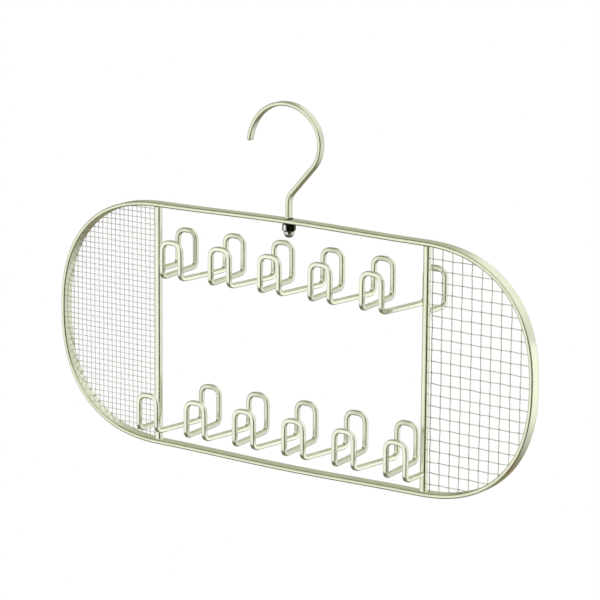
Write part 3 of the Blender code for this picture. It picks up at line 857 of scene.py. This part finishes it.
class ORGANISER_OT_fine_panel(bpy.types.Operator):
    """Build the fine woven wire cloth of the left end"""
    bl_idname = "organiser.fine_panel"
    bl_label = "Fine panel"

    samples = (265, 133)
    seeds = (11, 17)
    sides = 6
    end_space = 0.0012  # between the last upright's furthest place and the hoop's end
    top_space = 0.0015  # between the first crosswire's highest place and the hoop's top

    def execute(self, context):
        """Plain weave as in the coarse panel, with thinner and closer wires, on the left side."""
        hoop = context.scene.organiser.hoop
        panel = context.scene.organiser.panel
        low, high = np.array(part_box("fine_mesh_panel")) - np.array(hoop.centre)
        pitch = panel.fine_pitch
        radius = panel.fine_wire / 2
        swing = min(radius, (high[1] - low[1]) / 2 - radius)
        first_x = hoop.post_place + hoop.post_width / 2 + radius
        x = -np.arange(first_x, hoop.width / 2 - hoop.band - self.end_space, pitch)
        top = float(inner_height(hoop, first_x)) - self.top_space
        rows = int(2 * top / pitch)
        z = (np.arange(rows + 1) - rows / 2) * pitch
        ends = (-inner_reach(hoop, z) - SUNK, np.full(len(z), radius - first_x))
        plane = (low[1] + high[1]) / 2
        groups = weave(
            self, hoop, panel, plane, panel.fine_wire, pitch, (swing, -swing), x, z, ends
        )
        # The weld shares are weld darkening at the wires' ends and painted shade where they cross.
        shell = join_shells([grid_shell(grids, edge=welds[:, :, None]) for grids, welds in groups])
        add_piece("fine_wire_cloth", shell, "drawn fine wire", "frame", ["fine_mesh_panel"])
        return {"FINISHED"}


def arc(centre, radius, start, end, count):
    """Points centre + radius * (cos t, sin t) for t evenly from start to end."""
    angle = np.linspace(start, end, count)
    return np.array(centre) + radius * np.stack([np.cos(angle), np.sin(angle)], -1)


def hook_line(hook):
    """The strip's middle from its tip to its foot, as (x, z).

    A circle of the inner radius plus half the strip, an easing arc that leaves it tangentially, a
    straight slope, a neck curve of the other hand, and the upright stem.
    """
    middle = hook.radius + hook.strip / 2
    top = np.array([hook.top_place, -hook.top_drop - hook.radius])
    toward_ease = np.array([math.cos(hook.ease_angle), math.sin(hook.ease_angle)])
    ease = top + (middle - hook.ease_radius) * toward_ease
    over = arc(top, middle, hook.tip_angle, hook.ease_angle, 60)
    easing = arc(ease, hook.ease_radius, hook.ease_angle, hook.slope - math.pi / 2, 28)
    turn = math.pi / 2 - hook.slope
    end_x, end_z = easing[-1]
    neck_x = hook.stem_place + hook.neck_radius
    start_x = neck_x - hook.neck_radius * math.cos(turn)
    start_z = end_z - (end_x - start_x) * math.tan(hook.slope)
    neck_centre = (neck_x, start_z - hook.neck_radius * math.sin(turn))
    neck = arc(neck_centre, hook.neck_radius, math.pi - turn, math.pi, 14)
    foot = np.array([[hook.stem_place, -hook.drop]])
    return np.concatenate([over, easing[1:], neck, foot])


class ORGANISER_OT_hook(bpy.types.Operator):
    """Build the flat-strip hook and the threaded stud under its foot"""
    bl_idname = "organiser.hook"
    bl_label = "Hook and stud"

    stations = 190
    tip_turns = (88.0, 75.0, 60.0, 45.0, 30.0, 15.0)  # degrees round the half-round tip
    tip_loss = 0.12  # of the strip's depth at the very tip
    thread_sides = 32
    thread_stations = 60
    thread_pitch = 0.0008
    thread_depth = 0.00035
    thread_end = 0.0002  # what the stud's top edge loses
    neck_length = 0.0012
    neck_depth = 0.0011
    fade = 0.0004  # over which the thread ends and the neck begins

    def execute(self, context):
        """The strip's section carried along the hook's line, with the tip closed as a half round.

        The stud's radius is its outside radius less thread depth * |2 f - 1|, where f is the fraction
        of z / pitch - t / (2 pi). Near its top the thread fades out and the neck depth is taken off.
        """
        hook = context.scene.organiser.hook
        line = evenly(hook_line(hook), self.stations)
        along = path_directions(line)
        tip_angle = np.radians(self.tip_turns)
        tip = line[:1] - along[:1] * hook.strip / 2 * np.sin(tip_angle[:, None])
        line = np.concatenate([tip, line])
        along = np.concatenate([np.repeat(along[:1], len(tip), 0), along])
        narrow = np.concatenate([np.cos(tip_angle), np.ones(len(line) - len(tip))])[:, None]
        outward = in_plane(-along[:, 1], along[:, 0]) * narrow
        back = BACK * (1.0 - self.tip_loss * (1.0 - narrow))
        section = rounded_section(hook.strip, hook.depth, hook.edge)
        shell = bar_shell(in_plane(*line.T), outward, back, section)
        add_piece("hook_strip", shell, "satin hook plate", "hook", ["hanging_hook"])

        low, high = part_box("hook_stud")
        turns = evenly_round(self.thread_sides)
        z = np.linspace(low[2], high[2], self.thread_stations)[:, None]
        ridge = np.abs(((z / self.thread_pitch - turns / (2 * math.pi)) % 1.0) * 2 - 1)
        ease = np.clip((high[2] - z) / self.fade, 0.0, 1.0)
        neck = self.neck_depth * np.clip((z - high[2] + self.neck_length) / self.fade, 0.0, 1.0)
        radius = hook.stud - self.thread_depth * ridge * ease - self.thread_end * (1 - ease) - neck
        shell = grid_shell(turned(radius, turns, z, hook.swivel)[None])
        add_piece(
            "stud_thread", shell, "bare stud steel", "hook", ["hook_stud"], sharp=60.0
        )
        return {"FINISHED"}


class ORGANISER_OT_nut(bpy.types.Operator):
    """Build the domed nut that holds the hook's stud"""
    bl_idname = "organiser.nut"
    bl_label = "Domed nut"

    stations = 150
    sides = 96
    pole = 0.0001  # radius where the bore's closed end stops
    tip = 0.00005  # and where the crown does
    clear = 0.0001  # of the turned profile beyond the hexagon's corners
    play = 0.0003  # between the stud and the bore
    bevel = 0.0002  # of the bore's mouth
    bearing = 0.93  # share of the flats at which the level faces end
    rim = 0.96  # share of the flats at which the corners are cut off, at 30 degrees
    rim_rise = 0.00003  # between the two
    fillet = 0.0003  # between hexagon and dome
    # These dark shares paint dark reflections and shade on the nut: its corners, its upper rim under
    # the hoop, its lower rim above the dome, and the dome's crown.
    corner_dark = (0.3, 0.7)  # where a flat's darkness begins and is full, as shares of its half
    rim_dark = (0.0006, 0.0007)  # widths of the upper and the lower dark rim
    crown_dark = (0.0010, 0.0024)  # heights over the nut's lowest point where it is full and ends

    def execute(self, context):
        """A turned profile within the hexagon: r = min(profile, flats / (2 cos(t - nearest flat))).

        The dark share is 1 near the hexagon's corners and rims, and on the dome's crown: painted dark
        reflection and painted shade.
        """
        hook = context.scene.organiser.hook
        flat = hook.flats / 2
        corner = flat / math.cos(math.pi / 6)
        rim = flat * self.rim
        beyond = corner + self.clear
        chamfer = (corner - rim) * math.tan(math.radians(30.0))
        depth = hook.hexagon
        bore = hook.stud + self.play
        profile = [
            (self.pole, -depth), (bore, -depth), (bore, -self.bevel), (bore + self.bevel, 0.0),
            (flat * self.bearing, 0.0), (rim, -self.rim_rise), (beyond, -chamfer),
            (beyond, -depth + chamfer), (rim, -depth + self.rim_rise),
            (hook.dome + self.fillet, -depth), (hook.dome, -depth - self.fillet),
        ]
        crown = arc((0.0, hook.dome - hook.nut), hook.dome, 0.0, -math.pi / 2, 14)[:-1]
        profile = evenly(np.concatenate([profile, crown, [(self.tip, -hook.nut)]]), self.stations)

        angles = evenly_round(self.sides)
        off_flat = angles - np.round(angles / (math.pi / 3)) * math.pi / 3
        level = profile[:, 1:]
        radius = np.minimum(profile[:, :1], flat / np.cos(off_flat))
        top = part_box("cap_nut")[1][2]
        points = turned(radius, angles + hook.nut_turn, top + level, hook.swivel)
        upper, lower = self.rim_dark
        rim_share = np.exp(-((level / upper) ** 2)) + np.exp(-(((level + depth) / lower) ** 2))
        corner_share = np.interp(np.abs(off_flat) / (math.pi / 6), self.corner_dark, (0.0, 1.0))
        crown_share = np.interp(level + hook.nut, self.crown_dark, (1.0, 0.0))
        dark = np.clip(np.where(level > -depth, corner_share, crown_share) + rim_share, 0.0, 1.0)
        shell = grid_shell(points[None], edge=dark[None])
        add_piece("nut_shell", shell, "bright nut plate", "hook", ["cap_nut"], sharp=28.0)
        return {"FINISHED"}


class ORGANISER_OT_welds(bpy.types.Operator):
    """Build the small weld beads at the rails' ends, and a dark flat bead round the hook's foot that
    paints the shadow in the gap round the stud
    """
    bl_idname = "organiser.welds"
    bl_label = "Weld beads"

    rail_bead = (0.0019, 0.0006, 0.0019)
    foot_bead = (0.0029, 0.0031, 0.0006)
    foot_lift = 0.0002  # of the foot's bead above the hoop's top

    def execute(self, context):
        """Flattened ellipsoids centred on each joint."""
        settings = context.scene.organiser
        hoop = settings.hoop
        rail = settings.rail
        hook = settings.hook
        back = hoop.post_depth / 2
        ends = [
            (place, side, height)
            for side, height in ((back, rail.upper), (-back, -rail.lower))
            for place in (-hoop.post_place, hoop.post_place)
        ]
        shell = beads(np.array(ends) + np.array(hoop.centre), self.rail_bead)
        add_piece("rail_welds", shell, "satin plate painted lighter", "frame")
        # The foot's bead is a painted shadow of the dark gap round the stud, not a weld.
        shell = beads([(hook.swivel, 0.0, self.foot_lift - hook.drop)], self.foot_bead)
        add_piece("foot_gap_shadow", shell, "painted gap shadow", "hook")
        return {"FINISHED"}


# Studio


# The tent behind the zones, as diffuse rays see it
TENT = (0.78, 0.78, 0.75, 1.0)

# Zone: its middle's azimuth and elevation, squeeze, angles at which it starts and is full, colour
ZONES = (
    ("upper left", (-100.0, 45.0), 1.0, 62.0, 25.0, (0.32, 0.32, 0.25)),
    ("front box", (-26.0, -14.0), 1.0, 48.0, 30.0, (1.00, 1.00, 0.98)),
    ("side box", (126.0, -10.0), 1.0, 50.0, 34.0, (0.84, 0.84, 0.81)),
    ("top box", (172.0, 38.0), 1.0, 36.0, 16.0, (1.00, 1.00, 0.98)),
    ("far wall", (226.0, 8.0), 1.0, 40.0, 16.0, (0.50, 0.51, 0.41)),
    ("far opening", (222.0, -14.0), 3.0, 50.0, 30.0, (0.06, 0.065, 0.04)),
    ("floor side", (222.0, -40.0), 1.0, 40.0, 22.0, (0.34, 0.29, 0.18)),
    ("warm floor", (0.0, -90.0), 1.0, 60.0, 34.0, (0.13, 0.08, 0.03)),
    ("front floor", (-65.0, -50.0), 1.0, 34.0, 16.0, (0.16, 0.165, 0.11)),
    ("camera opening", (48.0, -10.0), 1.0, 42.0, 28.0, (0.01, 0.012, 0.005)),
)

# Lamp: its aim, azimuth, elevation and distance from there, width and height, and watts
LAMPS = (
    ("front softbox", None, -38.0, 5.0, 1.8, (1.3, 1.6), 0.5),
    ("side card", (0.19, 0.0, -0.16), 145.0, -14.0, 0.6, (0.2, 0.4), 0.09),
)


def direction(azimuth, elevation):
    """Unit vector (sin a cos e, -cos a cos e, sin e) for an azimuth and elevation in degrees."""
    a = math.radians(azimuth)
    e = math.radians(elevation)
    return (math.sin(a) * math.cos(e), -math.cos(a) * math.cos(e), math.sin(e))


def soft_lamp(name, place, aim, size, power):
    """An area lamp, unseen by the camera, that faces its aim."""
    lamp = bpy.data.lights.new(name, "AREA")
    lamp.shape = "RECTANGLE"
    lamp.size, lamp.size_y = size
    lamp.energy = power
    item = bpy.data.objects.new(name, lamp)
    bpy.context.scene.collection.objects.link(item)
    item.location = place
    item.visible_camera = False
    item.rotation_mode = "QUATERNION"
    item.rotation_quaternion = (aim - place).to_track_quat("-Z", "Y")


def studio_world():
    """White all round for the camera; glossy rays see that white too, behind the studio's soft zones.

    Diffuse rays see a slightly grey tent there, which lights the object less than full white would.
    Each zone is a smooth step of the angle between the ray and the zone's middle, after both have
    had their height multiplied by the zone's squeeze, which flattens the zone near the horizon. The
    zones are mixed over the tent one after another.
    """
    world = bpy.data.worlds.new("studio")
    bpy.context.scene.world = world
    world.use_nodes = True
    tree = world.node_tree
    place = add_node(tree, "ShaderNodeTexCoord").outputs["Generated"]
    rays = add_node(tree, "ShaderNodeLightPath").outputs
    colour = mixed(tree, rays["Is Glossy Ray"], TENT, WHITE)
    for name, middle, squeeze, outer, inner, zone_colour in ZONES:
        scale = (1.0, 1.0, squeeze)
        ray = vector_maths(tree, "NORMALIZE", vector_maths(tree, "MULTIPLY", place, scale, label=name))
        cosine = vector_maths(tree, "DOT_PRODUCT", ray, unit(np.array(direction(*middle)) * scale))
        limits = np.cos(np.radians([outer, inner]))
        mask = carried(tree, cosine, *limits, interpolation_type="SMOOTHSTEP")
        colour = mixed(tree, mask, colour, (*zone_colour, 1.0))
    colour = mixed(tree, rays["Is Camera Ray"], colour, WHITE)
    feed(tree, tree.nodes["Background"], {"Color": colour, "Strength": 1.0})


def studio_floor(studio):
    """A pale disc: rings of points r * (cos t, sin t), with its middle closed by one face."""
    sides = 96
    rings = np.linspace(0.02, 1.0, 12)[:, None] * studio.floor_radius
    points = turned(rings * np.ones(sides), evenly_round(sides), -studio.floor_drop, 0.0)
    points, faces, _, _ = grid_shell(points[None], capped=False)
    floor = add_object("studio_floor", points, faces + [list(range(sides))])
    pale = bpy.data.materials.new("pale floor")
    pale.use_nodes = True
    shader = pale.node_tree.nodes["Principled BSDF"]
    feed(pale.node_tree, shader, {"Base Color": (0.9, 0.9, 0.9, 1.0), "Roughness": 0.9})
    floor.data.materials.append(pale)


class ORGANISER_OT_studio(bpy.types.Operator):
    """Set up the pale floor, the soft light and the camera"""
    bl_idname = "organiser.studio"
    bl_label = "Studio"

    def execute(self, context):
        """The camera stands at aim + distance * c, turned about c by the roll."""
        scene = context.scene
        studio = scene.organiser.studio
        scene.view_settings.view_transform = "Standard"
        studio_world()
        studio_floor(studio)
        for name, aim, azimuth, elevation, distance, size, power in LAMPS:
            aim = Vector(aim or studio.aim)
            soft_lamp(name, aim + Vector(direction(azimuth, elevation)) * distance, aim, size, power)

        toward = Vector(direction(math.degrees(studio.azimuth), math.degrees(studio.elevation)))
        right = Vector((math.cos(studio.azimuth), math.sin(studio.azimuth), 0.0))
        up = toward.cross(right)
        turned_right = right * math.cos(studio.roll) + up * math.sin(studio.roll)
        turned_up = up * math.cos(studio.roll) - right * math.sin(studio.roll)
        camera = bpy.data.objects.new("camera", bpy.data.cameras.new("camera"))
        camera.data.sensor_width = 36.0
        camera.data.lens = studio.lens
        camera.data.clip_end = 50.0
        scene.collection.objects.link(camera)
        facing = Matrix((turned_right, turned_up, toward)).transposed().to_4x4()
        place = Vector(studio.aim) + toward * studio.distance
        camera.matrix_world = Matrix.Translation(place) @ facing
        scene.camera = camera
        return {"FINISHED"}


class ORGANISER_PT_panel(bpy.types.Panel):
    """Settings and builders of the organiser"""
    bl_idname = "ORGANISER_PT_panel"
    bl_label = "Jewellery organiser"
    bl_space_type = "VIEW_3D"
    bl_region_type = "UI"
    bl_category = "Organiser"

    def draw(self, context):
        layout = self.layout
        settings = context.scene.organiser
        for part in ("hoop", "rail", "panel", "hook", "finish", "studio"):
            group = getattr(settings, part)
            box = layout.box()
            for name in group.bl_rna.properties.keys():
                if name not in ("rna_type", "name"):
                    box.prop(group, name)
        for operator in BUILDERS:
            layout.operator(operator.bl_idname)


BUILDERS = (
    ORGANISER_OT_hoop,
    ORGANISER_OT_posts,
    ORGANISER_OT_rails,
    ORGANISER_OT_coarse_panel,
    ORGANISER_OT_fine_panel,
    ORGANISER_OT_hook,
    ORGANISER_OT_nut,
    ORGANISER_OT_welds,
    ORGANISER_OT_studio,
)
CLASSES = (
    HoopSettings, RailSettings, PanelSettings, HookSettings, FinishSettings, StudioSettings,
    OrganiserSettings, *BUILDERS, ORGANISER_PT_panel,
)


def register():
    for item in CLASSES:
        bpy.utils.register_class(item)
    bpy.types.Scene.organiser = PointerProperty(type=OrganiserSettings)


def unregister():
    del bpy.types.Scene.organiser
    for item in reversed(CLASSES):
        bpy.utils.unregister_class(item)


def main():
    register()
    bpy.ops.organiser.hoop()
    bpy.ops.organiser.posts()
    bpy.ops.organiser.rails()
    bpy.ops.organiser.coarse_panel()
    bpy.ops.organiser.fine_panel()
    bpy.ops.organiser.hook()
    bpy.ops.organiser.nut()
    bpy.ops.organiser.welds()
    bpy.ops.organiser.studio()


if __name__ == "__main__":
    main()
